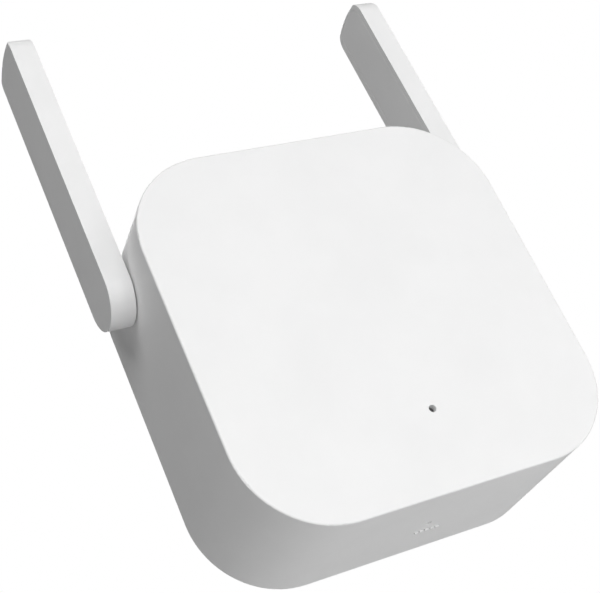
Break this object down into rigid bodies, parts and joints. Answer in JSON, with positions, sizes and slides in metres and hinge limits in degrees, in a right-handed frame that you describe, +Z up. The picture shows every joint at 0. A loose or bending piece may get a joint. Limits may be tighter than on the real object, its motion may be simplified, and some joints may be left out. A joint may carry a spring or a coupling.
{
  "type": "wifi range extender",
  "caption": "Square plug-in wireless repeater with rounded corners, flat fold-down side antennas, a front light hole, a bottom reset pinhole and a two-pin mains plug.",
  "frame": {"origin": "centre of the plug's engagement face, midway between its two pins", "axes": "+X to the right seen from the front, +Y out of the plug face into the wall socket, +Z up along the raised antennas"},
  "size_m": [0.0898, 0.0674, 0.1242],
  "materials": {
    "white_case": "fine matte moulded",
    "white_antenna": "fine matte moulded",
    "plug_plastic": "fine matte moulded, flame retardant",
    "pin_metal": "nickel-plated brass, polished",
    "sleeve_plastic": "smooth insulating sleeve",
    "spring_metal": "tin-plated spring strip",
    "screw_steel": "zinc-plated",
    "board": "solder mask over glass laminate",
    "resistor_body": "flameproof coating",
    "ferrite": "sintered, dark",
    "chip_body": "moulded epoxy",
    "capacitor_can": "heat-shrunk sleeve",
    "disc_coating": "dipped epoxy",
    "winding": "polyester tape over copper wire",
    "bobbin": "moulded phenolic",
    "connector": "moulded",
    "film": "polyester film",
    "can_metal": "tinned sheet",
    "aluminium_plate": "rolled",
    "thermal_gel": "soft pad",
    "led_body": "phosphor lens",
    "light_guide": "smoked clear",
    "switch_plastic": "moulded",
    "plunger_plastic": "moulded",
    "gold_contact": "gold-plated",
    "coax_jacket": "smooth jacket"
  },
  "bodies": {
    "case": {"front_cover": "white_case", "rear_cover": "white_case", "plug_body": "plug_plastic", "live_pin": "pin_metal", "neutral_pin": "pin_metal", "pin_sleeves": "sleeve_plastic", "live_contact": "spring_metal", "neutral_contact": "spring_metal", "power_board": "board", "power_board_screws": "screw_steel", "fuse_resistor": "resistor_body", "emi_choke": "ferrite", "bridge_rectifier": "chip_body", "bulk_capacitors": "capacitor_can", "power_chip": "chip_body", "transformer_core": "ferrite", "transformer_bobbin": "bobbin", "transformer_winding": "winding", "y_capacitor": "disc_coating", "output_capacitor": "capacitor_can", "link_header": "connector", "link_socket": "connector", "insulation_sheet": "film", "main_board": "board", "main_board_screws": "screw_steel", "wifi_chip": "chip_body", "memory_chip": "chip_body", "clock_crystal": "can_metal", "thermal_pad": "thermal_gel", "shield_can": "can_metal", "heat_spreader": "aluminium_plate", "status_led": "led_body", "light_pipe": "light_guide", "reset_switch_body": "switch_plastic", "reset_switch_dome": "spring_metal", "antenna_sockets": "can_metal", "left_coax": "coax_jacket", "left_coax_plug": "gold_contact", "right_coax": "coax_jacket", "right_coax_plug": "gold_contact"},
    "reset_button": {"reset_plunger": "plunger_plastic"},
    "left_antenna": {"left_antenna_shell": "white_antenna", "left_antenna_lid": "white_antenna", "left_antenna_element": "board", "left_antenna_lead": "coax_jacket", "left_friction_washer": "spring_metal", "left_retaining_ring": "spring_metal"},
    "right_antenna": {"right_antenna_shell": "white_antenna", "right_antenna_lid": "white_antenna", "right_antenna_element": "board", "right_antenna_lead": "coax_jacket", "right_friction_washer": "spring_metal", "right_retaining_ring": "spring_metal"}
  },
  "joints": [
    {"name": "left_antenna_hinge", "type": "hinge", "parent": "case", "child": "left_antenna", "pos_m": [-0.0395, -0.03215, 0.0219], "axis": [1, 0, 0], "range_deg": [-7.25, 180.75]},
    {"name": "right_antenna_hinge", "type": "hinge", "parent": "case", "child": "right_antenna", "pos_m": [0.0395, -0.03215, 0.0219], "axis": [1, 0, 0], "range_deg": [-6.5, 181.5]},
    {"name": "reset_press", "type": "slide", "parent": "case", "child": "reset_button", "axis": [0, 0, 1], "range_m": [0, 0.00025], "stiffness_N_per_m": 6000, "springref_m": -0.0001, "deforming": ["reset_switch_dome"]}
  ]
}
